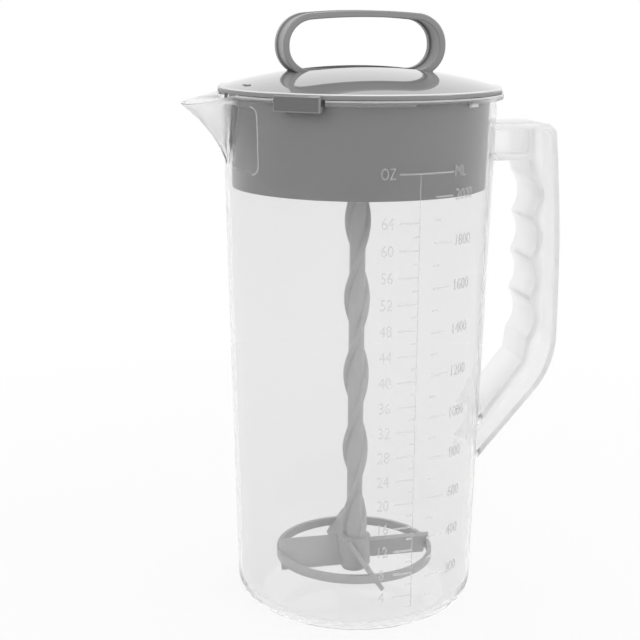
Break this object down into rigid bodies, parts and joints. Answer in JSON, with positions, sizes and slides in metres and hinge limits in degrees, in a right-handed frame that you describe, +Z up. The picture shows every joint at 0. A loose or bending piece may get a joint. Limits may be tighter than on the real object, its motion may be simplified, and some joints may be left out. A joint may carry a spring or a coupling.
{
  "type": "pitcher",
  "caption": "Clear straight-sided pitcher with a side handle, a pouring lid that turns and a pull ring that spins a stirrer on a twisted rod.",
  "frame": {"origin": "centre of the flat foot, on the surface it stands on", "axes": "+Z up along the jug's axis, the spout points to -X and the handle to +X"},
  "size_m": [0.1775, 0.1304, 0.2797],
  "materials": {
    "clear_plastic": "clear, smooth",
    "gloss_grey": "glossy grey",
    "matte_grey": "satin grey",
    "white_plastic": "satin white"
  },
  "bodies": {
    "pitcher": {"jug": "clear_plastic"},
    "lid": {"lid_cover": "gloss_grey", "pour_sleeve": "matte_grey", "drive_bush": "white_plastic", "bush_retainer": "matte_grey"},
    "plunger": {"pull_ring": "matte_grey"},
    "stirrer": {"twist_rod": "matte_grey", "swivel_rivet": "matte_grey", "agitator": "matte_grey", "agitator_clip": "matte_grey"}
  },
  "joints": [
    {"name": "lid_turn", "type": "hinge", "parent": "pitcher", "child": "lid", "pos_m": [0, 0, 0.244], "axis": [0, 0, 1], "range_deg": [0, 60]},
    {"name": "handle_pull", "type": "slide", "parent": "lid", "child": "plunger", "axis": [0, 0, 1], "range_m": [0, 0.166]},
    {"name": "stirrer_spin", "type": "hinge", "parent": "plunger", "child": "stirrer", "pos_m": [0, 0, 0.25], "axis": [0, 0, 1], "range_deg": [0, 803]}
  ],
  "couplings": [
    {"joint": "stirrer_spin", "follows": "handle_pull", "rad_per_m": 84.338}
  ]
}
